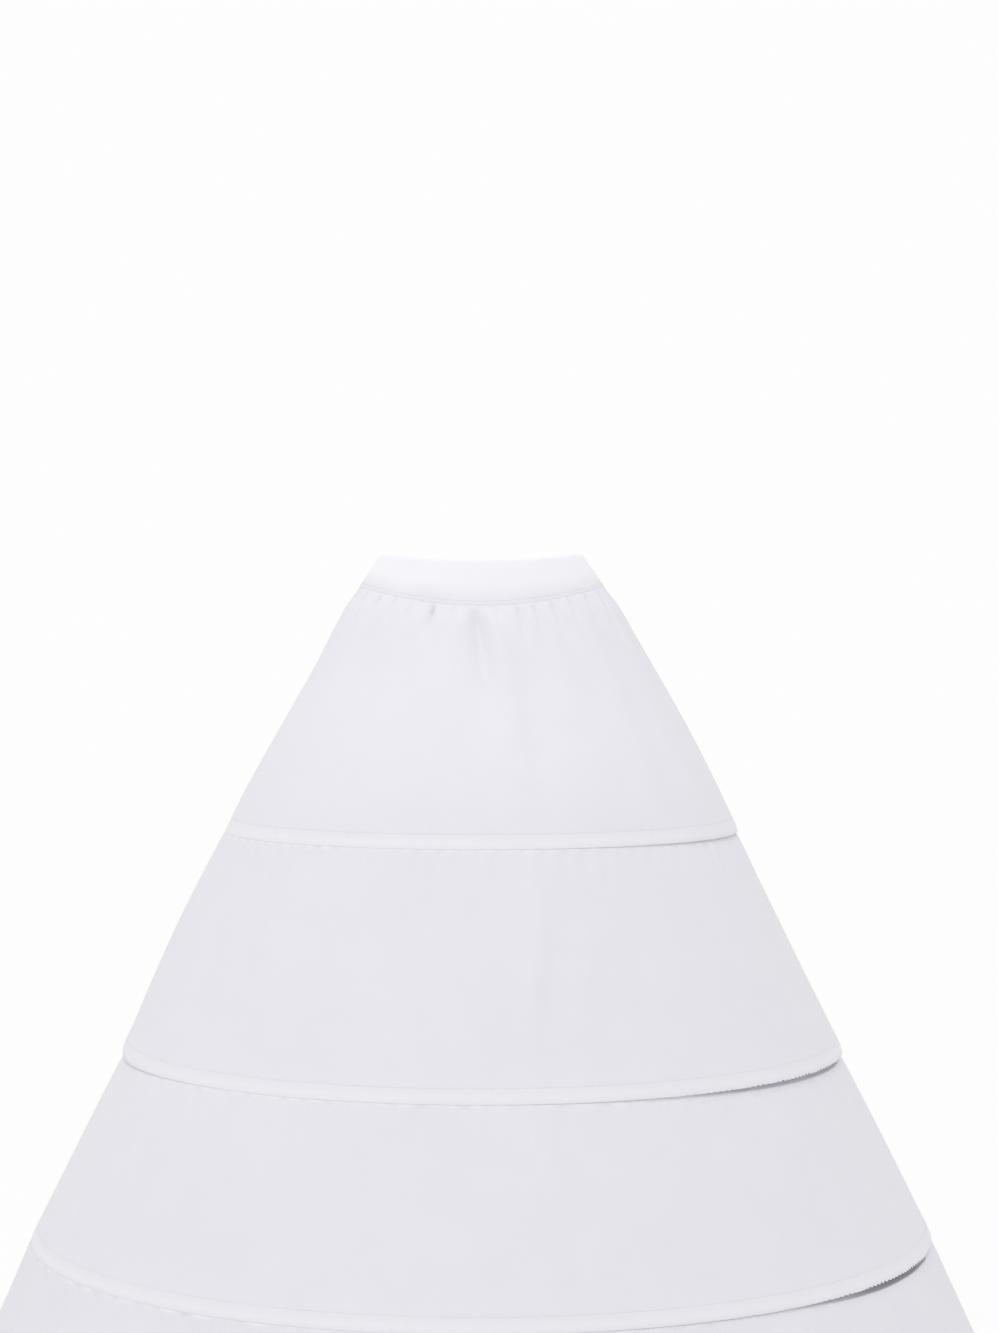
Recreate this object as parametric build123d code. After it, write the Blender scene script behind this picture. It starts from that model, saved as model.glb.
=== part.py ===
from build123d import *
from math import atan2, cos, degrees, pi, sin, tan
import os

# Hoop petticoat: four cloth tiers on four steel hoops, hung from a saddle-shaped waistband.
# Millimetres. The hem stands on z = 0, Z is the axis of the hoops and the front faces -Y.

os.makedirs("parts", exist_ok=True)

# Waistband, with the height at the hips
WAIST_HEIGHT = 990.0
WAIST_HALF_WIDTH = 114.0
WAIST_HALF_DEPTH = 88.0
BAND_HEIGHT = 37.0
BAND_FLARE = 25.5
SADDLE_DIP = 12.0
SEAM_DIP = 22.0
SEAM_ALLOWANCE = 8.0
ELASTIC_WIDTH = 25.0
ELASTIC_THICKNESS = 1.5

# Gathered top tier, between the waistband and the first hoop
GATHER_DROP = 26.0
GATHER_DEPTH = 4.5
YOKE_HEIGHT = 862.0
YOKE_HALF_WIDTH = 192.0
YOKE_HALF_DEPTH = 166.0
EASED_GATHER_SHARE = 0.45
MINOR_GATHER_SHARE = 0.7
MINOR_SHIFT_SHARE = 0.13
GATHERS = 18
MINOR_GATHERS = 11

# Turned edges of the tiers, at the hoops
TOP_EDGE_HEIGHT = 676.0
TOP_EDGE_RADIUS = 292.0
SECOND_EDGE_HEIGHT = 428.0
SECOND_EDGE_RADIUS = 410.0
THIRD_EDGE_HEIGHT = 220.0
THIRD_EDGE_RADIUS = 510.0
HEM_RADIUS = 610.0
TURNED_RING_HEIGHT = 26.0
CHANNEL_HEIGHT = 16.0

# Cloth, hoops and joiners
CLOTH = 1.2
CLOTH_PANELS = 72
FLATNESS = 0.0001
SEAM_CLEARANCE = 0.3
HOOP_WIDTH = 8.0
HOOP_THICKNESS = 1.2
HOOP_END_GAP = 2.0
JOINER_LENGTH = 36.0
JOINER_WALL = 0.5
JOINER_CLEARANCE = 0.1

# Fits that follow from the sizes above
JOINER_MARGIN = JOINER_WALL + JOINER_CLEARANCE
JOINER_THICKNESS = HOOP_THICKNESS + 2 * JOINER_MARGIN
BAND_SLOT = ELASTIC_THICKNESS + 2 * SEAM_CLEARANCE
BAND_THICKNESS = BAND_SLOT + 2 * CLOTH
FULL_TURN = degrees(2 * pi)
BACK = degrees(pi / 2)
TURNS = [2 * pi * i / CLOTH_PANELS for i in range(CLOTH_PANELS)]
BACK_TURNS = TURNS[: CLOTH_PANELS // 2 + 1]


def sag(radius):
    """How far the middle of a flat panel lies inside the circle through its edges."""
    return radius - radius * cos(pi / CLOTH_PANELS)


class Wall:
    """A cone-shaped cloth wall, given by its outer face."""

    def __init__(self, top_radius, top_z, foot_radius, foot_z):
        self.lean = atan2(foot_radius - top_radius, top_z - foot_z)
        self.foot_radius = foot_radius
        self.foot_z = foot_z

    def across(self, distance):
        return distance / cos(self.lean)

    def outer(self, z):
        return self.foot_radius - (z - self.foot_z) * tan(self.lean)

    def inner(self, z):
        return self.outer(z) - self.across(CLOTH)

    def behind_hoop(self, foot_radius, foot_z):
        """The wall that passes close behind this one's hoop and runs down to its own foot."""
        high, low = strip_corners(self, JOINER_MARGIN + SEAM_CLEARANCE)[2:]
        steep = Wall(*high, foot_radius, foot_z)
        return steep if steep.outer(low[1]) <= low[0] else Wall(*low, foot_radius, foot_z)

    def facing(self):
        """The wall that lies close behind this one's hoop, at the same slope."""
        high, low = strip_corners(self, JOINER_MARGIN + SEAM_CLEARANCE)[2:]
        return Wall(*high, *low)

    def turned_in(self, behind):
        """The turned foot, from the outer edge to the wall behind it and back to the inner face."""
        low = self.foot_z
        high = low + CLOTH
        gap = behind.across(SEAM_CLEARANCE)
        return [
            (self.outer(low), low),
            (behind.outer(low) + gap, low),
            (behind.outer(high) + gap, high),
            (self.inner(high), high),
        ]


def patch(a, b, c, d):
    """One flat cloth panel, or two triangles where the panel is twisted."""
    normal = (b - a).cross(c - a).normalized()
    if abs(normal.dot(d - a)) < FLATNESS:
        return [make_face(Polyline(a, b, c, d, close=True))]
    return [make_face(Polyline(a, b, c, close=True)), make_face(Polyline(a, c, d, close=True))]


def cloth(stations, closed):
    """A cloth solid from its sections, one at each turn around the body."""
    rows = [[Vector(*point) for point in section] for section in stations]
    faces = []
    for i in range(len(rows) if closed else len(rows) - 1):
        here = rows[i]
        there = rows[(i + 1) % len(rows)]
        for j in range(len(here)):
            k = (j + 1) % len(here)
            faces += patch(here[j], here[k], there[k], there[j])
    if not closed:
        faces += [make_face(Polyline(*rows[0], close=True)), make_face(Polyline(*rows[-1], close=True))]
    return Solid(Shell(faces))


def round_cloth(section):
    """A cloth ring with the same section all around, in radii and heights."""
    return cloth([[(r * cos(t), r * sin(t), z) for r, z in section] for t in TURNS], True)


def tier(wall, top_z, behind):
    top = [(wall.inner(top_z), top_z), (wall.outer(top_z), top_z)]
    return round_cloth(top + wall.turned_in(behind))


def profile(points):
    return Plane.XZ * make_face(Polyline(*points, close=True))


def strip_corners(wall, margin):
    """The hoop's section in its channel, grown on all sides by a margin."""
    along = (-sin(wall.lean), cos(wall.lean))
    inward = (-cos(wall.lean), -sin(wall.lean))
    offset = SEAM_CLEARANCE + sag(wall.foot_radius)
    drop = (offset + JOINER_THICKNESS) * sin(wall.lean)
    seat_z = wall.foot_z + CLOTH + SEAM_CLEARANCE + drop
    near = offset + JOINER_MARGIN - margin
    far = near + HOOP_THICKNESS + 2 * margin
    low = JOINER_MARGIN - margin
    high = low + HOOP_WIDTH + 2 * margin
    corners = []
    for depth, rise in [(near, low), (near, high), (far, high), (far, low)]:
        radius = wall.inner(seat_z) + depth * inward[0] + rise * along[0]
        corners.append((radius, seat_z + depth * inward[1] + rise * along[1]))
    return corners


def hoop(wall):
    gap = degrees(HOOP_END_GAP / wall.foot_radius)
    strip = revolve(profile(strip_corners(wall, 0)), Axis.Z, revolution_arc=FULL_TURN - gap)
    return Rot(0, 0, BACK + gap / 2) * strip


def joiner(wall):
    turn = degrees(JOINER_LENGTH / wall.foot_radius)
    section = profile(strip_corners(wall, JOINER_MARGIN)) - profile(strip_corners(wall, JOINER_CLEARANCE))
    return Rot(0, 0, BACK - turn / 2) * revolve(section, Axis.Z, revolution_arc=turn)


def on_band(turn, drop, inset):
    """A point on the waistband: a drop below its top edge and an inset from its outer face."""
    share = drop / BAND_HEIGHT
    spread = BAND_FLARE * share - inset
    dip = SADDLE_DIP + (SEAM_DIP - SADDLE_DIP) * share
    x = (WAIST_HALF_WIDTH + spread) * cos(turn)
    y = (WAIST_HALF_DEPTH + spread) * sin(turn)
    return (x, y, WAIST_HEIGHT - drop - dip * sin(turn) ** 2)


def band_section(turn):
    inside = BAND_THICKNESS - CLOTH
    path = [
        (0, 0),
        (BAND_HEIGHT, 0),
        (BAND_HEIGHT, CLOTH),
        (CLOTH, CLOTH),
        (CLOTH, inside),
        (BAND_HEIGHT, inside),
        (BAND_HEIGHT, BAND_THICKNESS),
        (0, BAND_THICKNESS),
    ]
    return [on_band(turn, drop, inset) for drop, inset in path]


def elastic_section(turn):
    top = CLOTH + SEAM_CLEARANCE
    foot = top + ELASTIC_WIDTH
    outside = CLOTH + SEAM_CLEARANCE
    inside = outside + ELASTIC_THICKNESS
    path = [(top, outside), (foot, outside), (foot, inside), (top, inside)]
    return [on_band(turn, drop, inset) for drop, inset in path]


def gather(turn):
    """How far the cloth swells out or in at this turn, as a share of the gathers' depth."""
    shift = 2 * pi * MINOR_SHIFT_SHARE
    wave = cos(GATHERS * turn) + MINOR_GATHER_SHARE * cos(MINOR_GATHERS * turn + shift)
    return wave / (1 + MINOR_GATHER_SHARE)


def oval(turn, half_width, half_depth, z, swell):
    reach = swell * gather(turn)
    return ((half_width + reach) * cos(turn), (half_depth + reach) * sin(turn), z)


def gathered_face(turn, wall, inset):
    """One face of the top tier, from inside the waistband down to its turned ring."""
    slot = (BAND_THICKNESS - CLOTH) / 2 + inset
    step = GATHER_DROP / (WAIST_HEIGHT - BAND_HEIGHT - YOKE_HEIGHT)
    seam_width = WAIST_HALF_WIDTH + BAND_FLARE
    seam_depth = WAIST_HALF_DEPTH + BAND_FLARE
    width = seam_width + (YOKE_HALF_WIDTH - seam_width) * step - inset
    depth = seam_depth + (YOKE_HALF_DEPTH - seam_depth) * step - inset
    seam_z = WAIST_HEIGHT - BAND_HEIGHT - SEAM_DIP * sin(turn) ** 2
    gather_z = seam_z + (YOKE_HEIGHT - seam_z) * step
    eased = GATHER_DEPTH * EASED_GATHER_SHARE
    ring_z = TOP_EDGE_HEIGHT + TURNED_RING_HEIGHT
    ring = wall.outer(ring_z) - inset
    return [
        on_band(turn, BAND_HEIGHT - SEAM_ALLOWANCE, slot),
        on_band(turn, BAND_HEIGHT, slot),
        oval(turn, width, depth, gather_z, GATHER_DEPTH),
        oval(turn, YOKE_HALF_WIDTH - inset, YOKE_HALF_DEPTH - inset, YOKE_HEIGHT, eased),
        oval(turn, ring, ring, ring_z, 0),
    ]


def gathered_section(turn, wall, behind):
    outer = gathered_face(turn, wall, 0)
    inner = gathered_face(turn, wall, wall.across(CLOTH))
    foot = [oval(turn, radius, radius, z, 0) for radius, z in wall.turned_in(behind)]
    return outer + foot + inner[::-1]


# Walls, from the top tier's turned ring down to the hem and its facing
top_wall = Wall(
    2 * TOP_EDGE_RADIUS - SECOND_EDGE_RADIUS,
    2 * TOP_EDGE_HEIGHT - SECOND_EDGE_HEIGHT,
    TOP_EDGE_RADIUS,
    TOP_EDGE_HEIGHT,
)
second_wall = top_wall.behind_hoop(SECOND_EDGE_RADIUS, SECOND_EDGE_HEIGHT)
third_wall = second_wall.behind_hoop(THIRD_EDGE_RADIUS, THIRD_EDGE_HEIGHT)
hem_wall = third_wall.behind_hoop(HEM_RADIUS, 0)
facing_wall = hem_wall.facing()
facing_edge = [
    (facing_wall.outer(CHANNEL_HEIGHT), CHANNEL_HEIGHT),
    (facing_wall.outer(0), 0),
    (facing_wall.inner(0), 0),
    (facing_wall.inner(CHANNEL_HEIGHT), CHANNEL_HEIGHT),
]

PARTS = {
    "waistband": cloth([band_section(turn) for turn in TURNS], True),
    "waist_elastic": cloth([elastic_section(turn) for turn in BACK_TURNS], False),
    "top_tier": cloth([gathered_section(turn, top_wall, second_wall) for turn in TURNS], True),
    "second_tier": tier(second_wall, TOP_EDGE_HEIGHT + CHANNEL_HEIGHT, third_wall),
    "third_tier": tier(third_wall, SECOND_EDGE_HEIGHT + CHANNEL_HEIGHT, hem_wall),
    "hem_tier": tier(hem_wall, THIRD_EDGE_HEIGHT + CHANNEL_HEIGHT, facing_wall),
    "hem_facing": round_cloth(facing_edge),
    "top_hoop": hoop(top_wall),
    "second_hoop": hoop(second_wall),
    "third_hoop": hoop(third_wall),
    "hem_hoop": hoop(hem_wall),
    "top_joiner": joiner(top_wall),
    "second_joiner": joiner(second_wall),
    "third_joiner": joiner(third_wall),
    "hem_joiner": joiner(hem_wall),
}

for name, shape in PARTS.items():
    export_step(shape, f"parts/{name}.step")
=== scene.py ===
import math

import bpy
import numpy as np
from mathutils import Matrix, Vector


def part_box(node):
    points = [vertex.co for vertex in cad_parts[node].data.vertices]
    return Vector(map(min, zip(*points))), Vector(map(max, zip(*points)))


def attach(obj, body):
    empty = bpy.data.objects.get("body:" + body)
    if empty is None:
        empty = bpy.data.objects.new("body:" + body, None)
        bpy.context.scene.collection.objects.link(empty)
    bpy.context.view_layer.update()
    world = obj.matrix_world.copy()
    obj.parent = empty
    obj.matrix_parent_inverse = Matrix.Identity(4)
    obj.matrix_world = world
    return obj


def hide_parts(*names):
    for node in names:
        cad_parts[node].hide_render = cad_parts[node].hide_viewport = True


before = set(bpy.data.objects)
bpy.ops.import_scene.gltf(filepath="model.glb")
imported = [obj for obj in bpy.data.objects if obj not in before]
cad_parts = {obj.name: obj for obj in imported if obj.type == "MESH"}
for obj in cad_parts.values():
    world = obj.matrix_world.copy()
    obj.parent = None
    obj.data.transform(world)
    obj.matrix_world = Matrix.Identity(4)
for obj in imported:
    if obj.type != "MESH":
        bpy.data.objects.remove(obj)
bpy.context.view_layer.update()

MM = 0.001
FRONT = -math.pi / 2
BACK = math.pi / 2
TIERS = ["top_tier", "second_tier", "third_tier", "hem_tier"]
HOOPS = ["top_hoop", "second_hoop", "third_hoop", "hem_hoop"]
JOINERS = ["top_joiner", "second_joiner", "third_joiner", "hem_joiner"]
COLUMNS = {"top_tier": 1500, "second_tier": 1500, "third_tier": 1700, "hem_tier": 1800}
CROWDING = 0.3
CROWDED_TURN = math.radians(-38)
BAND_COLUMNS = 1300
FACING_COLUMNS = 1080


def foot_of(node):
    """Radius and height of a tier's turned lower edge."""
    low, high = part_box(node)
    return high.x, low.z


FEET = {node: foot_of(node) for node in TIERS}
BAND_LOW, BAND_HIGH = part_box("waistband")

# In the names below, a run is the length over which a form starts, and a reach that over which it fades.

# Waist
BAND_TOP_WIDTH = 114 * MM
BAND_TOP_DEPTH = 88 * MM
BAND_THICKNESS = 4.5 * MM
BAND_FULLNESS = 0.6 * MM
BAND_WAVE = 0.5 * MM
BAND_EDGE_WAVE = 0.2 * MM
BAND_SEED = 31
BAND_INNER_ROWS = 10
BAND_FOLD_ROWS = 11
BAND_OUTER_ROWS = 16
INNER_LAYER_SHARE = 0.4
ELASTIC_START_SHARE = -0.1
ELASTIC_RUN_SHARE = 0.35
FRONT_DIP = 8 * MM
BACK_DIP = 12 * MM
SEAM_DIP = 22 * MM
SEAM_WIDTH = BAND_HIGH.x
SEAM_DEPTH = BAND_HIGH.y
SEAM_HEIGHT = BAND_LOW.z + SEAM_DIP
SEAM_INSET = 0.5 * MM
RUCHE_COUNT = 96
RUCHE_DEPTH = 2.8 * MM
# Rows of the folded band: its drop as a share of its height, and its inset in mm
BAND_TOP_SHARE = 0.07
BAND_INNER_SHARE = 0.98
BAND_STITCH_SHARE = 0.9
BAND_LOWER_EDGE = [(0.94, 0), (0.965, 0.05), (0.985, 0.15), (1, 0.5)]
BAND_GROOVE = 0.12 * MM
BAND_GROOVE_SHARE = 0.03
BAND_PULL_SHARE = 0.12
# Painted shade on the band's lower part: where it starts and over what share it fades in, as shares of the
# band's drop
BAND_SHADED_FROM_SHARE = 0.5
BAND_SHADED_FADE_SHARE = 0.42

# Top tier
YOKE_HEIGHT = 862 * MM
YOKE_WIDTH = 192 * MM
YOKE_DEPTH = 166 * MM
YOKE_ROWS = 20
YOKE_CROWDING = 1.35
LOWER_ROWS = 14
FLARE_SHARE = 1.12
SEAM_MARGIN_SHARES = [-0.08, -0.05, -0.02]
SEAM_START = -1 * MM
SEAM_FULLNESS = 0.8 * MM
SEAM_FULLNESS_RUN = 30 * MM
SEAM_FULLNESS_REACH = 55 * MM
GATHER_COUNT = 128
GATHER_SEED = 21
GATHER_DEPTH = 0.9 * MM
GATHER_RUN = 9 * MM
GATHER_REACH = 12 * MM
GATHER_PULL_REACH = 20 * MM
SEAM_DOUBLED_REACH = 7 * MM
ROLL_RUN = 32 * MM
TOP_TIER_SEED = 24
SIDE_FOLD_TURN = math.radians(69)
SIDE_FOLD = 2.6 * MM
SIDE_FOLD_WIDTH = 9 * MM
SIDE_HOLLOW_PLACE = 22 * MM
SIDE_HOLLOW_WIDTH = 14 * MM

# Turned edges with the hoops in them
WALL_GAP = 5 * MM
STITCH_RISE = 17 * MM
STITCH_WAVE = 0.15 * MM
STITCH_WAVE_REACH = 9 * MM
STITCH_PULL_REACH = 8 * MM
# A paler band up each turned edge, where the cloth lies double; it also stands as a painted highlight on
# the ridge over the hoop
PALE_EDGE_RISE = 6 * MM
PALE_EDGE_REACH = 7 * MM
CHANNEL_TOP = 30 * MM
HELD_RISE = 20 * MM
HELD_FADE = 40 * MM
PUCKER_PITCH = 8.4 * MM
PUCKER_DEPTH = 1.7 * MM
PUCKER_REACH = 13 * MM
TOOTH_DEPTH = 1.8 * MM
TOOTH_REACH = 7 * MM
NOTCH = 3.2 * MM
NOTCH_REACH = 6 * MM
CURL = 3.4 * MM
CURL_REACH = 12 * MM
SEED_STEP = 100
# Degrees from the centre front, and at each of them, by the seed of the edge (100 at the top hoop, 400 at
# the hem), how far the seam under the hoop shows, how dark its painted shade is, and how far the tier
# below lies inside
EDGE_TURNS = [-180, -120, -85, -60, -40, 0, 20, 35, 44, 52, 62, 75, 88, 120, 180]
EDGE_BLUR = (-6, -2, 2, 6)
OPEN_SHARES = {
    100: [0.1, 0.05, 0, 0, 0, 0, 0, 0.05, 0.1, 0.15, 0.22, 0.25, 0.2, 0.1, 0.1],
    200: [0.3, 0.2, 0, 0, 0, 0, 0.14, 0.36, 0.5, 0.62, 0.9, 0.85, 0.4, 0.3, 0.3],
    300: [0.3, 0.2, 0, 0, 0, 0, 0.14, 0.3, 0.5, 0.86, 1, 0.8, 0.3, 0.3, 0.3],
    400: [0.3, 0.2, 0.2, 0.2, 0.2, 0.2, 0.2, 0.2, 0.2, 0.2, 0.2, 0.2, 0.2, 0.2, 0.3],
}
INSET_SHARES = {
    100: [0.4, 0.3, 0, 0, 0, 0, 0.05, 0.18, 0.28, 0.38, 0.5, 0.55, 0.6, 0.5, 0.4],
    200: [0.6, 0.8, 0.9, 0.15, 0, 0.02, 0.14, 0.55, 0.68, 0.8, 0.95, 1, 1, 0.8, 0.6],
    300: [0.5, 0.5, 0.1, 0, 0, 0.02, 0.12, 0.3, 0.42, 0.75, 0.95, 0.9, 0.4, 0.4, 0.5],
    400: [0, 0, 0, 0, 0, 0, 0, 0, 0, 0, 0, 0, 0, 0, 0],
}
# Places down a tier, from the turned edge that it hangs from
MARGIN_SET_BACK = 0.8 * MM
MARGIN_END = -3.8 * MM
MARGIN_RUN = 2.2 * MM
# Where the grey painted shade in the seam under a turned edge ends, and over what length it fades out
SEAM_SHADE_END = -2.8 * MM
SEAM_SHADE_RUN = 2.6 * MM
LAP = 0.15 * MM
LAP_START = -2.6 * MM
LAP_RUN = 1.4 * MM
LAP_REACH = 10 * MM
HOLLOW = 2.5 * MM
HOLLOW_START = -1.5 * MM
HOLLOW_RUN = 1.5 * MM
HOLLOW_REACH = 9 * MM
SEWN_RUN = 4 * MM
SEAM_DROP = 7.5 * MM
SEAM_DROP_REACH = 46 * MM
EASE_WAVE = 0.7 * MM
EASE_REACH = 40 * MM
SEAM_PULL_REACH = 24 * MM
# Rows of a tier, in mm below the turned edge that it hangs from
MARGIN_ROWS = [-16, -7, -3.4, -2.6, -2.1, -1.6, -1.1]
UNDER_ROWS = [-0.4, 0.6, 1.6, 2.8, 4.4, 6.6, 9.6, 13, 17, 22, 28, 36, 46]
MIDDLE_ROWS = 10
# Outer face of a channel: mm above the turned edge, and stand-off from the cone
CHANNEL_FACE = [
    (30, 0), (24, 0), (20, -0.03), (18.2, -0.1), (17, -0.18), (15.8, -0.1), (13, 0.03), (10, 0.12),
    (7.5, 0.2), (5.5, 0.24), (3.8, 0.22), (2.4, 0.15), (1.2, 0.08), (0.4, 0.02), (0.1, 0),
]
# Roll under the hoop: mm outward and upward from the turned edge
CHANNEL_ROLL = [
    (-0.04, 0.01), (-0.1, 0.12), (-0.55, 1.05), (-1, 1.9), (-2, 2.35), (-3.3, 2.45), (-4.3, 2.6),
]
LOW_FACE_ROWS = 5
LIP_ROWS = len(CHANNEL_ROLL) + LOW_FACE_ROWS
# Rows that lie under the hoop, and how high they may come there and under its joiner
FLANGE_ROWS = 4
FLANGE_UNDER_HOOP = 2.1 * MM
FLANGE_UNDER_JOINER = 1.3 * MM
JOINER_ROOM = 22 * MM

# Hem facing
FACING_SET_BACK = 0.7 * MM
FACING_ROWS = 10
FACING_LOW_SHARE = 0.03
FACING_WAVE = 0.25 * MM
FACING_SEED = 41

# Unevenness of the hanging cloth, and its seam at the centre back
BROAD_WAVE = 1 * MM
SLOW_WAVE = 1.4 * MM
CREASE_TURN = math.radians(9)
CREASE_WANDER = 8 * MM
BACK_PINCH = 1.1 * MM
BACK_PINCH_WIDTH = 1.9 * MM
BACK_RIDGE = 0.4 * MM
BACK_RIDGE_PLACE = 7 * MM
BACK_RIDGE_WIDTH = 3.5 * MM
# Ridges of the crease: mm of height, place to the right of its middle, and width
CREASE_RIDGES = [(2, 0, 10), (-1.2, 22, 15), (0.9, 54, 14)]

# Folds sent down by the waist seam: degrees from the centre front, mm of depth, width, length and drift
WAIST_FOLDS = [
    (-78, 4.5, 8, 70, 9), (-66, 3.4, 6, 42, 0), (-53, 4.5, 8, 52, -4), (-43, 3.6, 5, 36, 0),
    (-33, 2.4, 5, 36, 2), (-22, 8, 6, 56, 2), (-13, 3, 6, 46, 5), (-3, 13, 16, 200, 28),
    (7, 2.8, 5, 36, 0), (16, 4.5, 7, 60, 5), (24, 4, 6, 70, 3), (33, 4.5, 8, 64, 8),
    (43, 3.4, 6, 40, 3), (55, 4, 7, 50, 0), (68, 4.5, 8, 78, -6), (80, 3.6, 7, 50, 0),
]
# Folds around the back: the same values, each between two limits
BACK_FOLDS_FROM = 89
BACK_FOLDS_TO = 272
BACK_FOLD_STEPS = (5, 9)
BACK_FOLD_DEPTHS = (4, 8)
BACK_FOLD_WIDTHS = (5, 8)
BACK_FOLD_LENGTHS = (40, 110)
BACK_FOLD_DRIFTS = (-8, 8)
BACK_FOLD_SEED = 5


def smooth(x):
    """0 below 0, 1 above 1, and an even step between."""
    x = np.clip(x, 0, 1)
    return x * x * (3 - 2 * x)


def hill(x, width):
    """A round rise, 1 high, at 0."""
    return np.exp(-((x / width) ** 2))


def decay(distance, reach):
    """Fades from 1 towards 0 along a distance."""
    return np.exp(-np.clip(distance, 0, None) / reach)


def wrap(angle):
    return (angle + math.pi) % (2 * math.pi) - math.pi


def wrap_degrees(angle):
    return (angle + 180) % 360 - 180


def turns(columns):
    """Angles around the axis, closest together at the right front, where the edges are most uneven."""
    even = np.arange(columns) * 2 * math.pi / columns
    return (even - CROWDING * np.sin(even - CROWDED_TURN))[:, None]


def ripple(turn, seed, fewest, most, count):
    """Uneven waves around the axis, about 1 high, in whole waves so that they close."""
    dice = np.random.default_rng(seed)
    total = np.zeros_like(turn)
    for _ in range(count):
        waves = dice.integers(fewest, most + 1)
        total = total + dice.uniform(0.5, 1) * np.cos(waves * turn + dice.uniform(0, 2 * math.pi))
    return total / math.sqrt(count / 2)


def puckers(turn, count, seed):
    """Narrow uneven dents around the axis: 0 between them, about 1 at their deepest."""
    drift = 1.7 * ripple(turn, seed, 5, 30, 6)
    depth = np.clip(0.6 + 0.35 * ripple(turn, seed + 1, 20, 90, 8), 0.1, 1.3)
    return depth * (0.5 + 0.5 * np.cos(count * turn + drift)) ** 2


def around(turn, shares):
    """Shares that change smoothly with the angle from the centre front."""
    degrees = np.degrees(wrap(turn - FRONT))
    total = sum(np.interp(wrap_degrees(degrees + step), EDGE_TURNS, shares) for step in EDGE_BLUR)
    return total / len(EDGE_BLUR)


def openness(turn, seed):
    """How far a turned edge stands open over the tier below it: flat on the left, open on the right."""
    uneven = 1 + 0.15 * ripple(turn, seed + 7, 4, 14, 6)
    return np.clip(around(turn, OPEN_SHARES[seed]) * uneven, 0, 1.1)


def ring(radius, height, turn):
    """Points of round rows about the axis."""
    turn = turn + 0 * radius
    return np.stack([radius * np.cos(turn), radius * np.sin(turn), height + 0 * turn], axis=-1)


def normals_of(grid):
    """Unit normals of a closed grid, outward where its rows run down."""
    across = np.roll(grid, -1, axis=0) - np.roll(grid, 1, axis=0)
    normal = np.cross(np.gradient(grid, axis=1), across)
    return normal / np.linalg.norm(normal, axis=2, keepdims=True)


def outward(grid):
    """Normals of a tier; all the rows of its turned edge share those of the face above them."""
    out = normals_of(grid)
    out[:, -LIP_ROWS:] = out[:, [-LIP_ROWS - 1]]
    return out


def sheet_object(name, grid, masks):
    """A cloth mesh from a grid of points: columns around the axis, rows down the cloth."""
    columns, rows, _ = grid.shape
    i, j = np.meshgrid(np.arange(columns), np.arange(rows - 1), indexing="ij")
    after = (i + 1) % columns
    quads = np.stack([i * rows + j, i * rows + j + 1, after * rows + j + 1, after * rows + j], axis=-1)
    quads = quads.reshape(-1, 4)
    mesh = bpy.data.meshes.new(name)
    mesh.vertices.add(columns * rows)
    mesh.vertices.foreach_set("co", grid.reshape(-1).astype(np.float32))
    mesh.loops.add(quads.size)
    mesh.loops.foreach_set("vertex_index", quads.reshape(-1).astype(np.int32))
    mesh.polygons.add(len(quads))
    mesh.polygons.foreach_set("loop_start", np.arange(0, quads.size, 4, dtype=np.int32))
    mesh.polygons.foreach_set("use_smooth", np.ones(len(quads), dtype=bool))
    mesh.update(calc_edges=True)
    steps_around = np.linalg.norm(np.roll(grid, -1, axis=0) - grid, axis=2).mean(1)
    steps_down = np.linalg.norm(np.diff(grid, axis=1), axis=2).mean(0)
    far = np.concatenate([[0], np.cumsum(steps_around)])
    down = np.concatenate([[0], np.cumsum(steps_down)])
    u = np.stack([far[i], far[i], far[i + 1], far[i + 1]], axis=-1)
    v = np.stack([down[j], down[j + 1], down[j + 1], down[j]], axis=-1)
    uv = np.stack([u, -v], axis=-1).reshape(-1)
    mesh.uv_layers.new(name="cloth").data.foreach_set("uv", uv.astype(np.float32))
    for mask, values in masks.items():
        values = np.broadcast_to(values, (columns, rows)).reshape(-1)
        mesh.attributes.new(mask, "FLOAT", "POINT").data.foreach_set("value", values.astype(np.float32))
    mesh.validate()
    piece = bpy.data.objects.new(name, mesh)
    bpy.context.collection.objects.link(piece)
    return piece


def channel_rows(foot, lean):
    """Radius, height and rise of the rows down a channel's face and around under its hoop."""
    face = np.array(CHANNEL_FACE) * MM
    rise, proud = face[:, 0], face[:, 1]
    radius = foot[0] - rise * math.sin(lean) + proud * math.cos(lean)
    height = foot[1] + rise * math.cos(lean) + proud * math.sin(lean)
    roll = np.array(CHANNEL_ROLL) * MM + np.array(foot)
    radius = np.concatenate([radius, roll[:, 0]])
    height = np.concatenate([height, roll[:, 1]])
    return radius, height, np.concatenate([rise, 0 * roll[:, 0]])


def pucker_count(radius):
    return round(2 * math.pi * radius / PUCKER_PITCH)


def edge_swell(turn, rise, foot, seed):
    """Small pulls at a turned edge, which curls in where the tier below lies inside it."""
    lift = openness(turn, seed)
    curl = CURL * around(turn, INSET_SHARES[seed]) * (1 - 0.7 * np.clip(1.6 * lift, 0, 1))
    dents = puckers(turn, pucker_count(foot[0]), seed) * decay(rise, TOOTH_REACH)
    teeth = TOOTH_DEPTH * lift * dents
    seam = STITCH_WAVE * ripple(turn, seed + 4, 80, 160, 8) * hill(rise - STITCH_RISE, STITCH_WAVE_REACH)
    return seam - teeth - curl * np.clip(1 - rise / CURL_REACH, 0, 1) ** 2


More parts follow.
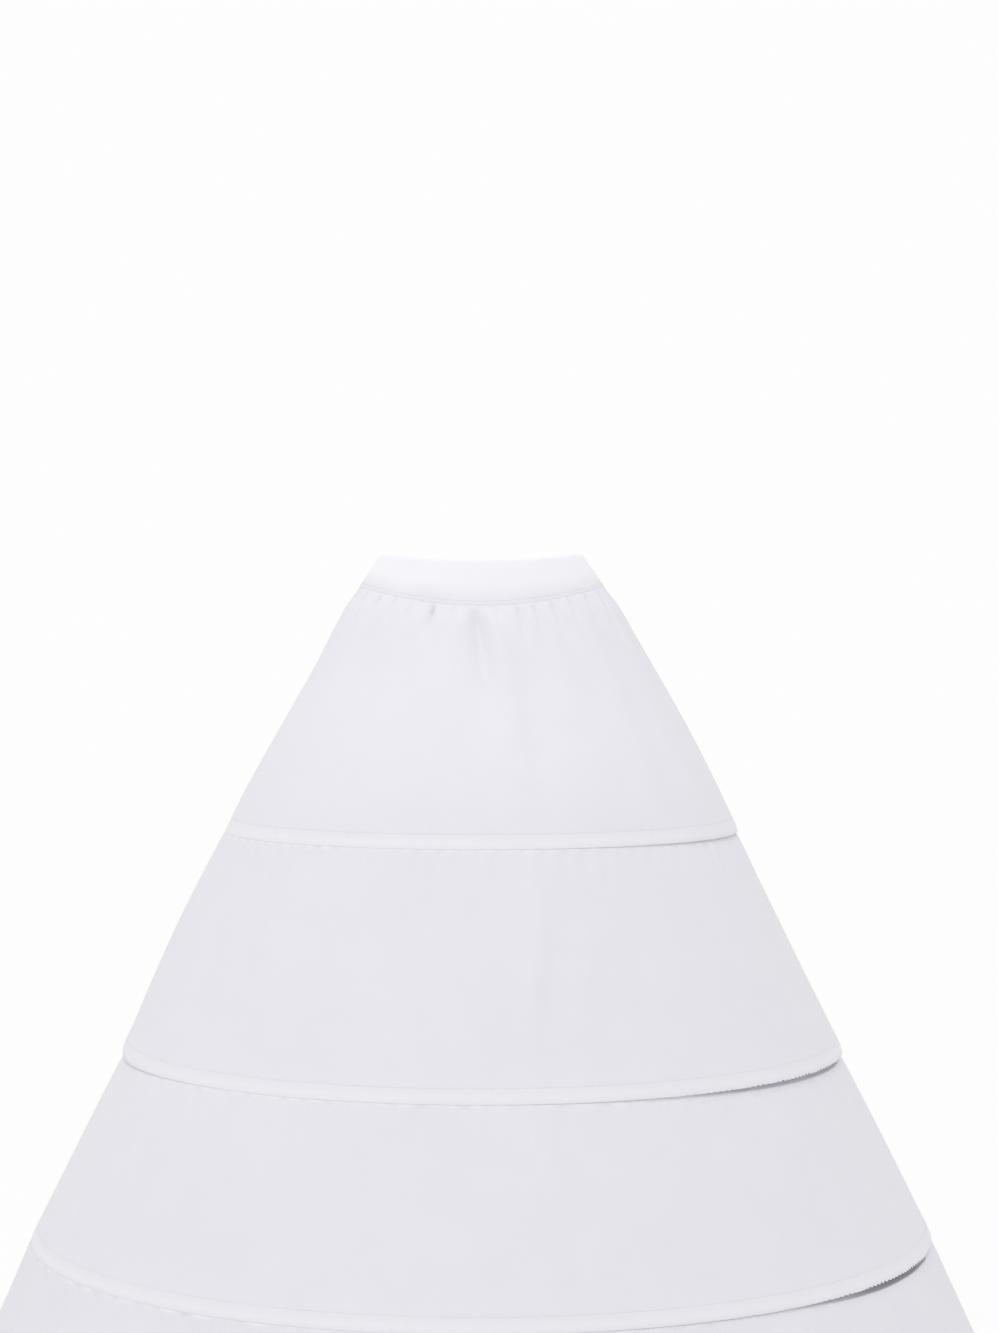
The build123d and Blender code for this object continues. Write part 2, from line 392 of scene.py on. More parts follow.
def notched(points, turn, rise, foot, seed):
    """Draw the turned edge up at each of its pulls, with its inner part kept under the hoop."""
    dents = puckers(turn, pucker_count(foot[0]), seed) * decay(rise, NOTCH_REACH)
    points[..., 2] += NOTCH * np.sqrt(openness(turn, seed)) * around(turn, INSET_SHARES[seed]) * dents
    by_joiner = np.abs(wrap(turn - BACK)) * foot[0] < JOINER_ROOM
    highest = foot[1] + np.where(by_joiner, FLANGE_UNDER_JOINER, FLANGE_UNDER_HOOP)
    points[:, -FLANGE_ROWS:, 2] = np.minimum(points[:, -FLANGE_ROWS:, 2], highest)
    points[..., 2] = np.maximum(points[..., 2], 0)
    return points


def crease(turn, share, radius, seed):
    """The soft upright fold a little to the right of the centre front."""
    dice = np.random.default_rng(seed + 40)
    wander = CREASE_WANDER * np.sin(2 * math.pi * (share * dice.uniform(0.5, 0.9) + dice.uniform(0, 1)))
    across = wrap(turn - FRONT - CREASE_TURN) * radius - wander
    ridges = 0
    for high, place, width in CREASE_RIDGES:
        ridges = ridges + high * MM * hill(across - place * MM, width * MM)
    return ridges * (0.8 + 0.35 * np.sin(5 * share + seed))


def back_seam(turn, radius):
    """The pinched line of the seam at the centre back."""
    across = wrap(turn - BACK) * radius
    pinch = BACK_PINCH * hill(across, BACK_PINCH_WIDTH)
    return pinch - BACK_RIDGE * hill(np.abs(across) - BACK_RIDGE_PLACE, BACK_RIDGE_WIDTH)


def hanging_swell(turn, share, radius, seed):
    """Soft unevenness of the cloth between two seams."""
    hung = np.sin(math.pi * share)
    broad = BROAD_WAVE * ripple(turn, seed + 2, 9, 26, 9) * (1 - 0.5 * share)
    slow = SLOW_WAVE * ripple(turn, seed + 3, 3, 8, 5)
    return (broad + slow + crease(turn, share, radius, seed)) * hung


def free_of_edge(rise):
    """0 in a turned edge, where the hoop holds the cloth, and 1 well above it."""
    return smooth((rise - HELD_RISE) / HELD_FADE)


def stitch_mask(rise):
    """Where the stitching of a turned edge pulls the cloth."""
    return 0.6 * hill(rise - STITCH_RISE, STITCH_PULL_REACH)


def edge_mask(rise):
    """Where the cloth of a turned edge lies double and is paler; the paler band is also a painted
    highlight on the ridge over the hoop.
    """
    return 0.5 * hill(rise - PALE_EDGE_RISE, PALE_EDGE_REACH)


def tier(start, foot, columns, seam_seed, edge_seed):
    """A round tier, from behind the hoop above it to its own turned edge."""
    turn = turns(columns)
    lean = math.atan2(foot[0] - start[0], start[1] - foot[1])
    length = math.hypot(foot[0] - start[0], start[1] - foot[1])
    upper = np.array(MARGIN_ROWS + UNDER_ROWS) * MM
    middle = np.linspace(upper[-1], length - CHANNEL_TOP, MIDDLE_ROWS + 2)[1:-1]
    body = np.concatenate([upper, middle])[None, :]
    edge_radius, edge_height, rise = (row[None, :] for row in channel_rows(foot, lean))
    down = np.concatenate([body, length - rise], axis=1)
    rise = length - down
    free = free_of_edge(rise)
    share = np.clip(down / (length - CHANNEL_TOP), 0, 1)

    lift = openness(turn, seam_seed)
    inside = around(turn, INSET_SHARES[seam_seed])
    place = body + SEAM_DROP * lift * (1 - smooth(body / SEAM_DROP_REACH))
    radius = np.concatenate([start[0] + place * math.sin(lean), edge_radius + 0 * turn], axis=1)
    height = np.concatenate([start[1] - place * math.cos(lean), edge_height + 0 * turn], axis=1)
    grid = ring(radius, height, turn)
    place = np.concatenate([place, length - rise[:, body.shape[1] :] + 0 * turn], axis=1)
    sewn = smooth(place / SEWN_RUN)
    dents = puckers(turn, pucker_count(start[0]), seam_seed)
    swell = -PUCKER_DEPTH * (0.25 + 0.85 * lift) * dents * sewn * decay(place, PUCKER_REACH)
    swell = swell + EASE_WAVE * ripple(turn, seam_seed + 5, 50, 110, 9) * sewn * decay(place, EASE_REACH)
    inset = WALL_GAP * (1 - place / length)
    lapped = (inset - LAP * decay(place, LAP_REACH)) * smooth((place - LAP_START) / LAP_RUN)
    hollow = HOLLOW * inside * smooth((place - HOLLOW_START) / HOLLOW_RUN) * decay(place, HOLLOW_REACH)
    behind = MARGIN_SET_BACK * (1 - smooth((place - MARGIN_END) / MARGIN_RUN))
    swell = swell + lapped * (1 - inside) - hollow - behind
    swell = swell + hanging_swell(turn, share, radius, edge_seed) * free
    swell = swell - back_seam(turn, radius) * sewn
    swell = swell + edge_swell(turn, rise, foot, edge_seed)
    points = notched(grid + outward(grid) * swell[..., None], turn, rise, foot, edge_seed)
    # Painted shade: the seam under the turned edge above is coloured grey for the shadow there, more where
    # that edge stands open
    seam_shade_strength = np.clip(1.35 * lift - 0.38, 0, 1)
    masks = {
        "pucker": sewn * decay(place, SEAM_PULL_REACH) + stitch_mask(rise),
        "doubled_and_painted_light": edge_mask(rise),
        "seam": (1 - smooth((down - SEAM_SHADE_END) / SEAM_SHADE_RUN)) * seam_shade_strength,
    }
    return points, masks, int(np.argmin(np.abs(rise - STITCH_RISE)))


def waist_folds():
    """The folds at the front, and deeper ones around the back, where the elastic draws the cloth in."""
    folds = list(WAIST_FOLDS)
    dice = np.random.default_rng(BACK_FOLD_SEED)
    place = BACK_FOLDS_FROM
    while place < BACK_FOLDS_TO:
        depth = dice.uniform(*BACK_FOLD_DEPTHS)
        width = dice.uniform(*BACK_FOLD_WIDTHS)
        length = dice.uniform(*BACK_FOLD_LENGTHS)
        drift = dice.uniform(*BACK_FOLD_DRIFTS)
        folds.append((place, depth, width, length, drift))
        place += dice.uniform(*BACK_FOLD_STEPS)
    return folds


def gathers(turn, down, radius):
    """Grooves with a soft roll on each side, which open out and fade below the waist seam."""
    total = np.zeros(np.broadcast(turn, down).shape)
    raised = smooth((down - SEAM_START) / ROLL_RUN)
    for place, depth, width, length, drift in waist_folds():
        along = np.clip(down / (length * MM), 0, 1)
        across = wrap(turn - FRONT - math.radians(place)) * radius - drift * MM * along
        sunk = smooth((down - SEAM_START) / (1.5 * width * MM))
        spread = width * MM * (0.5 + 1.2 * along)
        blunt = 0.02 * width * spread
        groove = -np.exp((blunt - np.hypot(across, blunt)) / (0.5 * spread)) * sunk
        right = 0.55 * hill(across - 1.2 * spread, 0.8 * spread)
        left = 0.4 * hill(across + 1.3 * spread, 0.9 * spread)
        total = total + depth * MM * (groove + (right + left) * raised) * (1 - along) ** 1.1
    return total


def side_fold(turn, share, radius):
    """The long soft fold inside the right edge of the top tier."""
    across = wrap(turn - FRONT - SIDE_FOLD_TURN) * radius
    ridge = hill(across, SIDE_FOLD_WIDTH) - 0.7 * hill(across - SIDE_HOLLOW_PLACE, SIDE_HOLLOW_WIDTH)
    return SIDE_FOLD * ridge * np.sin(math.pi * np.clip(1.1 * share, 0, 1))


def bend(steps, values, start_slope, end_slope):
    """A smooth line through three values at steps 0, 1 and 2, straight before 0."""
    first, second, last = values
    middle_slope = (last - first) / 2
    lower = steps < 1
    local = np.where(lower, np.clip(steps, 0, 1), steps - 1)
    a = np.where(lower, first, second)
    b = np.where(lower, second, last)
    slope_a = np.where(lower, start_slope, middle_slope)
    slope_b = np.where(lower, middle_slope, end_slope)
    ease = local * local * (3 - 2 * local)
    line = a + (b - a) * ease + slope_a * local * (1 - local) ** 2 - slope_b * local * local * (1 - local)
    return line + np.minimum(steps, 0) * start_slope


def top_tier(columns, edge_seed):
    """The gathered tier, from inside the waistband to the first hoop."""
    turn = turns(columns)
    foot, below = FEET["top_tier"], FEET["second_tier"]
    lean = math.atan2(below[0] - foot[0], foot[1] - below[1])
    edge_radius, edge_height, rise = channel_rows(foot, lean)
    margin = np.array(SEAM_MARGIN_SHARES)
    yoke = np.linspace(0, 1, YOKE_ROWS) ** YOKE_CROWDING
    steps = np.concatenate([margin, yoke, np.linspace(1, 2, LOWER_ROWS)[1:-1]])[None, :]
    seam_height = SEAM_HEIGHT - SEAM_DIP * np.sin(turn) ** 2
    seam_width, seam_depth = SEAM_WIDTH - SEAM_INSET, SEAM_DEPTH - SEAM_INSET
    fall = edge_height[0] - YOKE_HEIGHT
    spread = -fall * math.tan(lean)
    height = bend(steps, (seam_height, YOKE_HEIGHT, edge_height[0]), YOKE_HEIGHT - seam_height, fall)
    flare = FLARE_SHARE * (YOKE_WIDTH - seam_width)
    width = bend(steps, (seam_width, YOKE_WIDTH, edge_radius[0]), flare, spread)
    flare = FLARE_SHARE * (YOKE_DEPTH - seam_depth)
    depth = bend(steps, (seam_depth, YOKE_DEPTH, edge_radius[0]), flare, spread)
    body = np.stack([width * np.cos(turn), depth * np.sin(turn), height], axis=-1)
    grid = np.concatenate([body, ring(edge_radius[None, :], edge_height[None, :], turn)], axis=1)

    lengths = np.linalg.norm(np.diff(grid, axis=1), axis=2)
    down = np.concatenate([np.zeros((columns, 1)), np.cumsum(lengths, axis=1)], axis=1)
    down = down - down[:, len(margin) : len(margin) + 1]
    rows = body.shape[1]
    to_edge = down[:, rows : rows + 1] + CHANNEL_TOP - down
    rise = np.concatenate([to_edge[:, :rows], np.broadcast_to(rise, (columns, len(rise)))], axis=1)
    share = np.clip(down / down[:, rows : rows + 1], 0, 1)
    radius = np.hypot(grid[..., 0], grid[..., 1])
    free = free_of_edge(rise)
    born = smooth((down - SEAM_START) / GATHER_RUN)
    swell = gathers(turn, np.clip(down, 0, None), radius) * born
    dents = puckers(turn, GATHER_COUNT, GATHER_SEED)
    swell = swell - GATHER_DEPTH * dents * born * decay(down, GATHER_REACH)
    eased = smooth((down - SEAM_START) / SEAM_FULLNESS_RUN)
    swell = swell + SEAM_FULLNESS * eased * decay(down, SEAM_FULLNESS_REACH)
    swell = swell + hanging_swell(turn, share, radius, TOP_TIER_SEED) + side_fold(turn, share, radius)
    swell = (swell - back_seam(turn, radius) * born) * free
    swell = swell + edge_swell(turn, rise, foot, edge_seed)
    points = notched(grid + outward(grid) * swell[..., None], turn, rise, foot, edge_seed)
    masks = {
        "pucker": born * decay(down, GATHER_PULL_REACH) + stitch_mask(rise),
        "doubled_and_painted_light": 0.15 * decay(down, SEAM_DOUBLED_REACH) + edge_mask(rise),
        "seam": 0,
    }
    return points, masks, int(np.argmin(np.abs(rise[0] - STITCH_RISE)))


def band_rows():
    """Drop share, inset and side of the rows up the inner face, over the top and down the outer face."""
    drops = np.linspace(BAND_INNER_SHARE, BAND_TOP_SHARE, BAND_INNER_ROWS)
    inner = [(share, BAND_THICKNESS, -1) for share in drops]
    half = BAND_THICKNESS / 2
    over = [
        (BAND_TOP_SHARE * (1 - math.sin(a)), half + half * math.cos(a), -math.cos(a))
        for a in np.linspace(0, math.pi, BAND_FOLD_ROWS)[1:-1]
    ]
    drops = np.linspace(BAND_TOP_SHARE, BAND_STITCH_SHARE, BAND_OUTER_ROWS)
    outer = [(share, 0, 1) for share in drops]
    edge = [(share, inset * MM, 1) for share, inset in BAND_LOWER_EDGE]
    return np.array(inner + over + outer + edge).T


def waistband(columns):
    """The folded waistband: smooth at the front, drawn up by the elastic at the back."""
    turn = turns(columns)
    drop, inset, side = (row[None, :] for row in band_rows())
    spread = (SEAM_WIDTH - BAND_TOP_WIDTH) * drop - inset
    saddle = np.where(np.sin(turn) < 0, FRONT_DIP, BACK_DIP)
    dip = saddle + (SEAM_DIP - saddle) * drop
    x = (BAND_TOP_WIDTH + spread) * np.cos(turn)
    y = (BAND_TOP_DEPTH + spread) * np.sin(turn)
    z = BAND_HIGH.z - (BAND_HIGH.z - SEAM_HEIGHT) * drop - dip * np.sin(turn) ** 2
    grid = np.stack([x, y, z], axis=-1)
    full = np.sin(math.pi * np.clip(drop, 0, 1))
    drawn = smooth((np.sin(turn) - ELASTIC_START_SHARE) / ELASTIC_RUN_SHARE)
    dents = np.clip(puckers(turn, RUCHE_COUNT, BAND_SEED), 0, 0.85)
    ruche = RUCHE_DEPTH * (0.5 - dents) * drawn * (0.35 + 0.65 * full)
    soft = BAND_WAVE * ripple(turn, BAND_SEED + 1, 5, 14, 6) * full
    soft = soft + BAND_EDGE_WAVE * ripple(turn, BAND_SEED + 2, 40, 70, 6) * drop**3
    groove = -BAND_GROOVE * hill(drop - BAND_STITCH_SHARE, BAND_GROOVE_SHARE)
    lift = (ruche + soft + groove + BAND_FULLNESS * full) * np.where(side > 0, 1, INNER_LAYER_SHARE)
    # The paler colour lies on the upper part of the band and fades out below it: painted shade on its
    # lower part, though the band lies double all over
    masks = {
        "pucker": 0.5 * hill(drop - BAND_STITCH_SHARE, BAND_PULL_SHARE) + 0.7 * drawn * full,
        "doubled_and_painted_light": 1 - 0.9 * smooth((drop - BAND_SHADED_FROM_SHARE) / BAND_SHADED_FADE_SHARE),
        "seam": 0,
    }
    stitch_row = len(drop[0]) - len(BAND_LOWER_EDGE) - 1
    return grid + normals_of(grid) * lift[..., None], masks, stitch_row


def hem_facing(columns):
    """The narrow strip behind the hem hoop."""
    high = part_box("hem_facing")[1]
    foot, above = FEET["hem_tier"], FEET["third_tier"]
    slope = (foot[0] - above[0]) / (above[1] - foot[1])
    turn = turns(columns)
    rise = np.linspace(1, FACING_LOW_SHARE, FACING_ROWS)[None, :] * high.z
    wave = FACING_WAVE * ripple(turn, FACING_SEED, 120, 220, 8)
    return ring(high.x - FACING_SET_BACK - rise * slope + wave, rise, turn)


STITCH_LENGTH = 2.7 * MM
STITCH_GAP = 0.9 * MM
THREAD = 0.5 * MM
# A stitch from end to end: shares of its length, its thickness and its height above the cloth
STITCH_SHARES = [(0, 0, -0.6), (0.14, 0.9, 0.05), (0.5, 1, 0.35), (0.86, 0.9, 0.05), (1, 0, -0.6)]


def stitches(name, grid, row):
    """Thread stitches, each four-sided and pointed at its ends, along a row of the cloth."""
    path = np.vstack([grid[:, row], grid[:1, row]])
    normals = normals_of(grid)[:, row]
    normals = np.vstack([normals, normals[:1]])
    place = np.concatenate([[0], np.cumsum(np.linalg.norm(np.diff(path, axis=0), axis=1))])
    count = int(place[-1] / (STITCH_LENGTH + STITCH_GAP))
    starts = np.arange(count) * place[-1] / count

    def along(distance, values):
        return np.stack([np.interp(distance, place, values[:, k]) for k in range(3)], axis=-1)

    parts = []
    for share, size, height in STITCH_SHARES:
        distance = starts + share * STITCH_LENGTH
        out = along(distance, normals)
        middle = along(distance, path)
        ahead = along(distance + STITCH_GAP, path) - along(distance - STITCH_GAP, path)
        side = np.cross(ahead, out)
        side /= np.linalg.norm(side, axis=1, keepdims=True)
        middle = middle + out * THREAD * height
        ends = [side, out, -side, -out] if size else [0 * side]
        parts.append(np.stack([middle + end * THREAD / 2 * size for end in ends], axis=1))
    points = np.concatenate(parts, axis=1)
    per = points.shape[1]
    faces = []
    sides = 4
    first, last = 1, per - 1 - sides
    for k in range(sides):
        n = (k + 1) % sides
        faces.append((0, first + n, first + k))
        faces.append((per - 1, last + k, last + n))
        faces += [(r + k, r + n, r + sides + n, r + sides + k) for r in range(first, last, sides)]
    all_faces = [tuple(i * per + v for v in face) for i in range(count) for face in faces]
    mesh = bpy.data.meshes.new(name)
    mesh.from_pydata(points.reshape(-1, 3).tolist(), [], all_faces)
    mesh.polygons.foreach_set("use_smooth", np.ones(len(all_faces), dtype=bool))
    piece = bpy.data.objects.new(name, mesh)
    bpy.context.collection.objects.link(piece)
    return piece


class Nodes:
    """A short way to write a material's node tree."""

    def __init__(self, name):
        self.material = bpy.data.materials.new(name)
        self.material.use_nodes = True
        self.tree = self.material.node_tree
        self.shader = self.tree.nodes["Principled BSDF"]

    def add(self, kind, **values):
        node = self.tree.nodes.new(kind)
        for key, value in values.items():
            setattr(node, key, value)
        return node

    def join(self, source, target):
        self.tree.links.new(source, target)

    def math(self, operation, a, b):
        node = self.add("ShaderNodeMath", operation=operation)
        for socket, value in zip(node.inputs, (a, b)):
            if isinstance(value, (int, float)):
                socket.default_value = value
            else:
                self.join(value, socket)
        return node.outputs[0]

    def noise(self, vector, scale, detail=2):
        node = self.add("ShaderNodeTexNoise")
        node.inputs["Scale"].default_value = scale
        node.inputs["Detail"].default_value = detail
        self.join(vector, node.inputs["Vector"])
        return node.outputs["Fac"]

    def wave(self, vector, direction, pitch):
        node = self.add("ShaderNodeTexWave", bands_direction=direction)
        node.inputs["Scale"].default_value = 2 * math.pi / (20 * pitch)
        node.inputs["Distortion"].default_value = 0.6
        node.inputs["Detail"].default_value = 1
        self.join(vector, node.inputs["Vector"])
        return node.outputs["Fac"]

    def stretched(self, vector, scale):
        node = self.add("ShaderNodeMapping")
        node.inputs["Scale"].default_value = scale
        self.join(vector, node.inputs["Vector"])
        return node.outputs[0]

    def bumps(self, layers):
        """Bump the shader with layers of height, distance and strength."""
        last = None
        for height, distance, strength in layers:
            node = self.add("ShaderNodeBump")
            node.inputs["Distance"].default_value = distance
            node.inputs["Strength"].default_value = strength
            self.join(height, node.inputs["Height"])
            if last is not None:
                self.join(last, node.inputs["Normal"])
            last = node.outputs["Normal"]
        self.join(last, self.shader.inputs["Normal"])

    def mix(self, factor, first, second):
        """A colour between two colours, of which the first may come from another node."""
        node = self.add("ShaderNodeMix", data_type="RGBA")
        if isinstance(first, list):
            node.inputs["A"].default_value = first
        else:
            self.join(first, node.inputs["A"])
        node.inputs["B"].default_value = second
        self.join(factor, node.inputs["Factor"])
        return node.outputs["Result"]

    def colours(self, factor, first, second):
        self.join(self.mix(factor, first, second), self.shader.inputs["Base Color"])

    def mask(self, name):
        return self.add("ShaderNodeAttribute", attribute_name=name).outputs["Fac"]

    def place(self):
        return self.add("ShaderNodeTexCoord").outputs["Object"]

    def rough(self, factor, low, high):
        scaled = self.math("MULTIPLY", factor, high - low)
        self.join(self.math("ADD", scaled, low), self.shader.inputs["Roughness"])


def screen(*rgb):
    """Linear colour from the 0 to 255 values that a screen shows."""
    shares = [value / 255 for value in rgb]
    return [s / 12.92 if s <= 0.04045 else ((s + 0.055) / 1.055) ** 2.4 for s in shares] + [1]


# Colours of the cloth, of cloth that lies double (also a painted highlight on the turned edges), and of
# the grey painted shade in the seams under the hoops; fine grain
DOUBLED_AND_LIT_COLOUR = screen(249, 248, 253)
SEAM_SHADE_COLOUR = screen(140, 138, 149)
PALE_CLOTH = screen(241, 240, 246)
SKIRT_SHADE = screen(234, 233, 240)
BAND_SHADE = screen(235, 234, 241)
WEAVE_PITCH = 0.5 * MM
WEAVE_HEIGHT = 0.12 * MM
PULLS_A_METRE = (160, 30, 1)
PULL_HEIGHT = 1.8 * MM
CREASES_A_METRE = 22
CREASE_HEIGHT = 2.4 * MM
RIB_PITCH = 1.3 * MM
RIB_HEIGHT = 0.4 * MM
THREAD_GRAIN_A_METRE = 900
COAT_GRAIN_A_METRE = 260
STEEL_LINES_A_METRE = (120, 120, 2600)


def cloth_material(name, pale, dark, sheen):
    """White woven lining: fine weave, pulls beside the seams, faint creases, paler where it is doubled;
    the paler colour is also a painted highlight on the turned edges and leaves painted shade low on the
    waistband, and grey painted shade fills the seams under the hoops.
    """
    n = Nodes(name)
    uv = n.add("ShaderNodeUVMap", uv_map="cloth").outputs[0]
    weave = n.math("MAXIMUM", n.wave(uv, "X", WEAVE_PITCH), n.wave(uv, "Y", WEAVE_PITCH))
    pulls = n.math("MULTIPLY", n.noise(n.stretched(uv, PULLS_A_METRE), 1, 3), n.mask("pucker"))
    creases = n.noise(n.place(), CREASES_A_METRE, 4)
    n.bumps([(creases, CREASE_HEIGHT, 0.2), (pulls, PULL_HEIGHT, 0.6), (weave, WEAVE_HEIGHT, 0.12)])
    threads = n.math("MULTIPLY", n.math("SUBTRACT", 1, weave), 0.3)
    single = n.mix(n.math("ADD", threads, n.math("MULTIPLY", creases, 0.5)), pale, dark)
    # Paler where the cloth lies double, which also paints a highlight along each turned edge and shade low
    # on the band; then the grey painted shade of the seams under the hoops
    whole = n.mix(n.mask("doubled_and_painted_light"), single, DOUBLED_AND_LIT_COLOUR)
    n.colours(n.mask("seam"), whole, SEAM_SHADE_COLOUR)
    n.rough(creases, 0.66, 0.8)
    n.shader.inputs["Sheen Weight"].default_value = sheen
    n.shader.inputs["Sheen Roughness"].default_value = 0.4
    n.shader.inputs["Specular IOR Level"].default_value = 0.3
    return n.material


def thread_material():
    n = Nodes("sewing_thread")
    n.colours(n.noise(n.place(), THREAD_GRAIN_A_METRE), screen(238, 237, 242), screen(222, 221, 228))
    n.shader.inputs["Roughness"].default_value = 0.6
    return n.material


def coat_material():
    """White plastic coat on the hoop steel."""
    n = Nodes("hoop_coat")
    grain = n.noise(n.place(), COAT_GRAIN_A_METRE)
    n.colours(grain, screen(240, 240, 238), screen(226, 226, 224))
    n.rough(grain, 0.3, 0.42)
    return n.material


def steel_material():
    """Thin drawn steel of the crimped sleeves."""
    n = Nodes("joiner_steel")
    lines = n.noise(n.stretched(n.place(), STEEL_LINES_A_METRE), 1)
    n.colours(lines, screen(204, 206, 209), screen(180, 182, 186))
    n.rough(lines, 0.22, 0.42)
    n.shader.inputs["Metallic"].default_value = 1
    return n.material


def elastic_material():
    """Ribbed woven elastic."""
    n = Nodes("elastic_ribs")
    ribs = n.wave(n.place(), "Z", RIB_PITCH)
    n.bumps([(ribs, RIB_HEIGHT, 0.6)])
    n.colours(ribs, screen(214, 213, 216), screen(236, 235, 238))
    n.shader.inputs["Roughness"].default_value = 0.85
    return n.material


def dress(piece, material):
    piece.data.materials.append(material)
    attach(piece, "root")
    return piece


skirt_cloth = cloth_material("skirt_cloth", PALE_CLOTH, SKIRT_SHADE, 0.12)
band_cloth = cloth_material("band_cloth", PALE_CLOTH, BAND_SHADE, 0.15)
thread = thread_material()

# Tiers and their stitching
above = None
for number, node in enumerate(TIERS):
    foot = FEET[node]
    seam_seed = SEED_STEP * number
    edge_seed = seam_seed + SEED_STEP
    if above is None:
        start = (SEAM_WIDTH, SEAM_HEIGHT)
        grid, masks, stitch_row = top_tier(COLUMNS[node], edge_seed)
    else:
        lean = math.atan2(foot[0] - above[0], above[1] - foot[1])
        start = (above[0] - WALL_GAP * math.cos(lean), above[1] - WALL_GAP * math.sin(lean))
        grid, masks, stitch_row = tier(start, foot, COLUMNS[node], seam_seed, edge_seed)
    cloth = dress(sheet_object(f"{node}_cloth", grid, masks), skirt_cloth)
    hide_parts(node)
    line = dress(stitches(f"{node}_stitches", grid, stitch_row), thread)
    above = foot

# Hem facing
FACING_MASKS = {"pucker": 0, "doubled_and_painted_light": 0, "seam": 0}
strip = sheet_object("hem_facing_cloth", hem_facing(FACING_COLUMNS), FACING_MASKS)
facing = dress(strip, skirt_cloth)
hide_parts("hem_facing")

# Waistband
grid, masks, stitch_row = waistband(BAND_COLUMNS)
band = dress(sheet_object("waistband_cloth", grid, masks), band_cloth)
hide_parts("waistband")
band_line = dress(stitches("waistband_stitches", grid, stitch_row), thread)

# Pieces inside the cloth
coat = coat_material()
steel = steel_material()
for node in HOOPS:
    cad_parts[node].data.materials[0] = coat
for node in JOINERS:
    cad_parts[node].data.materials[0] = steel
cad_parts["waist_elastic"].data.materials[0] = elastic_material()


# Studio
SKY_LOW = 1.01
SKY_HIGH = 0.93
WHITE = 0.985
KEY_PLACE = (-0.9, -1.65, 3)
KEY_AIM = (0, 0, 0.5)
KEY_SIZE = 1.4
KEY_POWER = 7.5
FLOOR_GLOW = 1.265
FLOOR_GLOW_SHARE = 0.6
FLOOR_SIZE = 14
FLOOR_COLOUR = screen(200, 200, 201)


def seen_ray(tree):
    """1 for the rays that show a background: straight to the camera, in a gloss or through glass."""
    path = tree.nodes.new("ShaderNodeLightPath")
    last = path.outputs["Is Camera Ray"]
    for name in ("Is Glossy Ray", "Is Transmission Ray"):
        node = tree.nodes.new("ShaderNodeMath")
        node.operation = "MAXIMUM"
        tree.links.new(last, node.inputs[0])
        tree.links.new(path.outputs[name], node.inputs[1])
        last = node.outputs[0]
    return last


def pale_floor():
    """A plain pale floor that shows white and keeps the shadow."""
    corners = [(x * FLOOR_SIZE, y * FLOOR_SIZE, 0) for x, y in ((-1, -1), (1, -1), (1, 1), (-1, 1))]
    mesh = bpy.data.meshes.new("floor")
    mesh.from_pydata(corners, [], [(0, 1, 2, 3)])
    floor = bpy.data.objects.new("floor", mesh)
    bpy.context.collection.objects.link(floor)
    n = Nodes("floor")
    n.shader.inputs["Base Color"].default_value = FLOOR_COLOUR
    n.shader.inputs["Roughness"].default_value = 0.8
    n.shader.inputs["Specular IOR Level"].default_value = 0
    glow = n.add("ShaderNodeEmission")
    glow.inputs["Strength"].default_value = FLOOR_GLOW
    mix = n.add("ShaderNodeMixShader")
    n.join(n.math("MULTIPLY", seen_ray(n.tree), FLOOR_GLOW_SHARE), mix.inputs["Fac"])
    n.join(n.shader.outputs[0], mix.inputs[1])
    n.join(glow.outputs[0], mix.inputs[2])
    n.join(mix.outputs[0], n.tree.nodes["Material Output"].inputs["Surface"])
    mesh.materials.append(n.material)


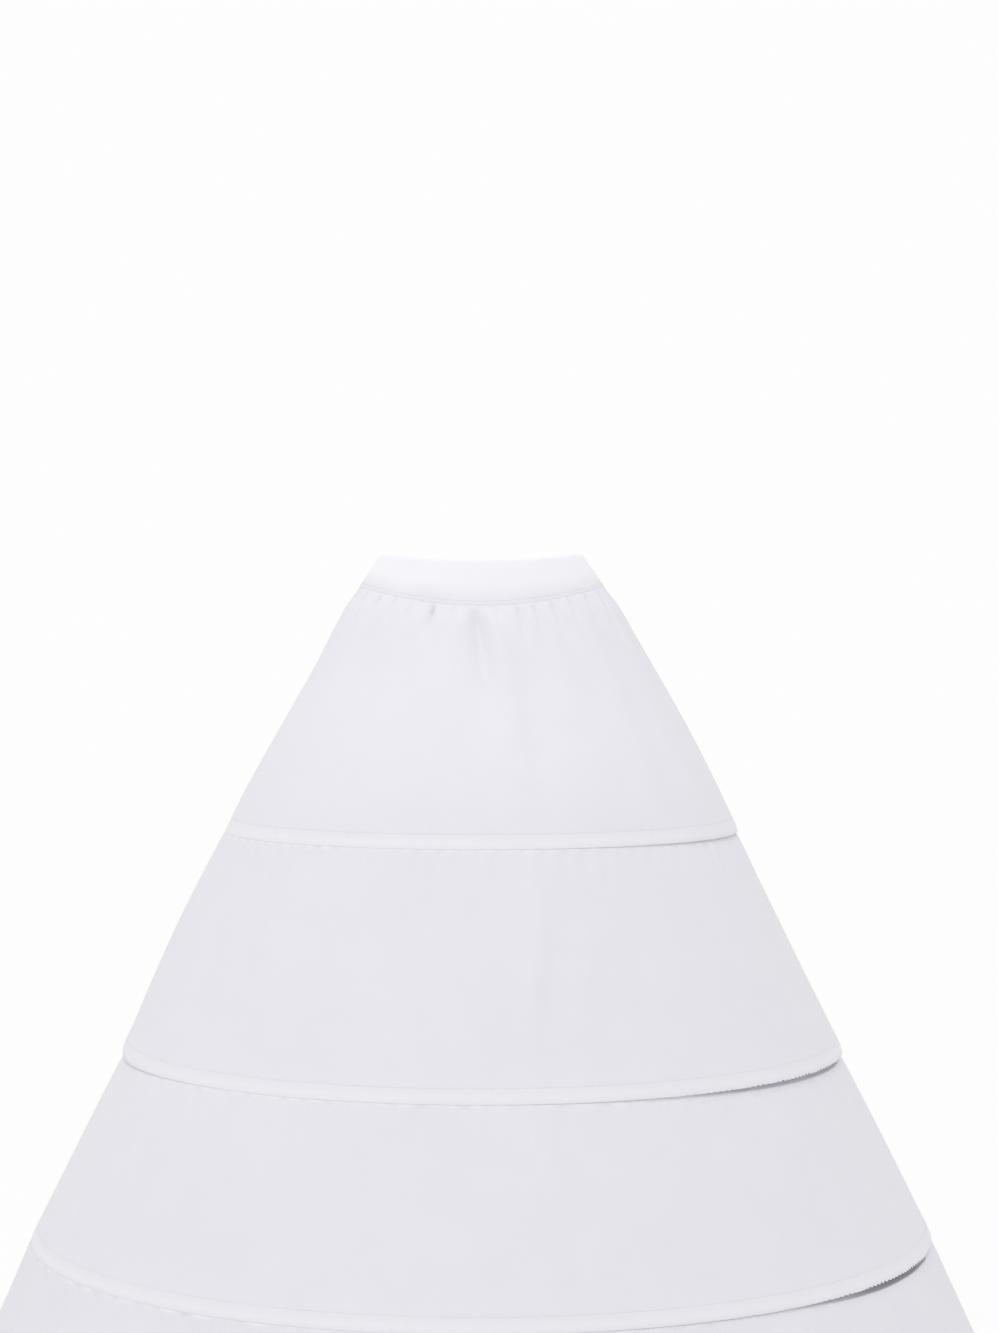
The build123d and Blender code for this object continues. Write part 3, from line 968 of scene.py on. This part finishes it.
def pale_world():
    world = bpy.data.worlds.new("studio")
    bpy.context.scene.world = world
    world.use_nodes = True
    tree = world.node_tree
    split = tree.nodes.new("ShaderNodeSeparateXYZ")
    tree.links.new(tree.nodes.new("ShaderNodeTexCoord").outputs["Generated"], split.inputs[0])
    sky = tree.nodes.new("ShaderNodeMapRange")
    sky.inputs["To Min"].default_value = SKY_LOW
    sky.inputs["To Max"].default_value = SKY_HIGH
    tree.links.new(split.outputs["Z"], sky.inputs["Value"])
    level = tree.nodes.new("ShaderNodeMapRange")
    tree.links.new(seen_ray(tree), level.inputs["Value"])
    tree.links.new(sky.outputs["Result"], level.inputs["To Min"])
    level.inputs["To Max"].default_value = WHITE
    back = tree.nodes["Background"]
    back.inputs["Color"].default_value = (1, 1, 1, 1)
    tree.links.new(level.outputs["Result"], back.inputs["Strength"])


def soft_lamp(name, place, aim, size, power):
    light = bpy.data.lights.new(name, "AREA")
    light.size = size
    light.energy = power
    lamp = bpy.data.objects.new(name, light)
    lamp.location = place
    x, y, z = np.array(aim) - np.array(place)
    tilt = math.pi / 2 + math.atan2(z, math.hypot(x, y))
    lamp.rotation_euler = (tilt, 0, math.atan2(y, x) - math.pi / 2)
    bpy.context.collection.objects.link(lamp)


# Camera at the photograph's angle; its picture is 999 by 1333 pixels
PICTURE_WIDTH = 999
PICTURE_HEIGHT = 1333
FOCAL_PIXELS = 3000
SENSOR_SIZE = 36
METRES_A_PIXEL = 1.14 * MM
AXIS_PIXEL = 482
HORIZON_PIXEL = 610
WAIST_PIXEL = 554


def set_camera():
    data = bpy.data.cameras.new("camera")
    data.sensor_width = SENSOR_SIZE
    data.lens = FOCAL_PIXELS / PICTURE_HEIGHT * data.sensor_width
    camera = bpy.data.objects.new("camera", data)
    bpy.context.collection.objects.link(camera)
    side = (PICTURE_WIDTH / 2 - AXIS_PIXEL) * METRES_A_PIXEL
    height = BAND_HIGH.z - (HORIZON_PIXEL - WAIST_PIXEL) * METRES_A_PIXEL
    camera.location = (side, -FOCAL_PIXELS * METRES_A_PIXEL, height)
    tilt = math.atan2(HORIZON_PIXEL - PICTURE_HEIGHT / 2, FOCAL_PIXELS)
    camera.rotation_euler = (math.pi / 2 + tilt, 0, 0)
    bpy.context.scene.camera = camera


pale_floor()
pale_world()
soft_lamp("key", KEY_PLACE, KEY_AIM, KEY_SIZE, KEY_POWER)
set_camera()
bpy.context.scene.view_settings.view_transform = "Standard"
